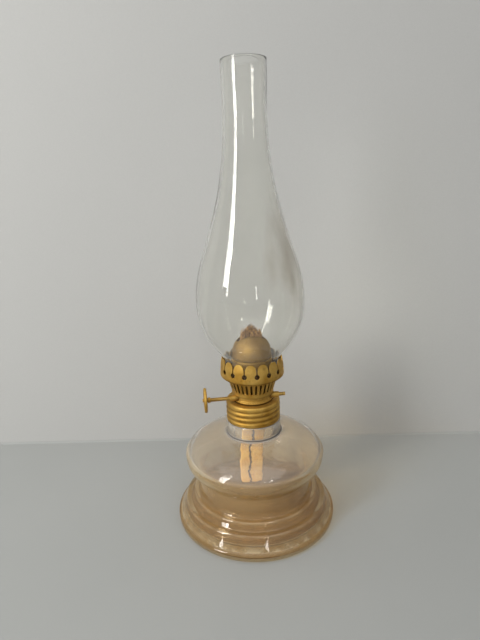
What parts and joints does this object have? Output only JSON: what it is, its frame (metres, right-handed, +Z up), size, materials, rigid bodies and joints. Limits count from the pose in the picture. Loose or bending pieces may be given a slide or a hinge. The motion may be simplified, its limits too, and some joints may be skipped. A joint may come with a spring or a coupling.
{
  "type": "kerosene_lamp",
  "caption": "Small glass table kerosene lamp with a stepped amber glass font, screw-on brass flat-wick burner with crown gallery and thumb knob, and a tall lift-off bulb chimney",
  "frame": {"origin": "centre of the bounding box's bottom face, on the table under the lamp's axis", "axes": "+Z up along the lamp's axis; the knob's spindle runs along X with the knob towards -X; -Y is the front"},
  "size_m": [0.0936, 0.0936, 0.25],
  "materials": {
    "font_glass": "moulded glass with an amber tint, smooth",
    "chimney_glass": "thin blown clear glass, slightly smoky",
    "brass": "pressed sheet brass, satin, a little tarnished",
    "dome_brass": "heat-dulled sheet brass",
    "dark_brass": "drawn brass, dark with use",
    "cotton": "woven cotton tape, soaked in the font and charred at the tuft",
    "rubber": "oil-proof sealing washer, matt"
  },
  "bodies": {
    "font": {"glass_font": "font_glass"},
    "washer": {"neck_washer": "rubber"},
    "burner": {"screw_cap": "brass", "tube_plate": "dark_brass", "wick_tube": "dark_brass", "burner_neck": "brass", "spindle_bush_left": "brass", "spindle_bush_right": "brass", "air_basket": "brass", "gallery_crown": "brass", "air_diffuser": "dark_brass", "dome_carrier": "dome_brass", "flame_dome": "dome_brass"},
    "spindle_set": {"spindle": "dark_brass", "feed_wheel_left": "dark_brass", "feed_wheel_right": "dark_brass", "thumb_knob": "brass", "knob_ferrule": "brass"},
    "wick_tape": {"wick": "cotton"},
    "chimney": {"glass_chimney": "chimney_glass"}
  },
  "joints": [
    {"name": "burner_rise", "type": "slide", "parent": "font", "child": "washer", "axis": [0, 0, 1], "range_m": [0, 0.006]},
    {"name": "burner_unscrew", "type": "hinge", "parent": "washer", "child": "burner", "pos_m": [0, 0, 0.0743], "axis": [0, 0, 1], "range_deg": [0, 720]},
    {"name": "chimney_lift", "type": "slide", "parent": "burner", "child": "chimney", "axis": [0, 0, 1], "range_m": [0, 0.05]},
    {"name": "spindle_turn", "type": "hinge", "parent": "burner", "child": "spindle_set", "pos_m": [0, -0.0049, 0.0771], "axis": [1, 0, 0], "range_deg": [-156.5, 104.5]},
    {"name": "wick_feed", "type": "slide", "parent": "burner", "child": "wick_tape", "axis": [0, 0, 1], "range_m": [-0.009, 0.006]}
  ],
  "couplings": [
    {"joint": "burner_rise", "follows": "burner_unscrew", "m_per_rad": 0.00047746},
    {"joint": "spindle_turn", "follows": "wick_feed", "rad_per_m": 303.03}
  ]
}
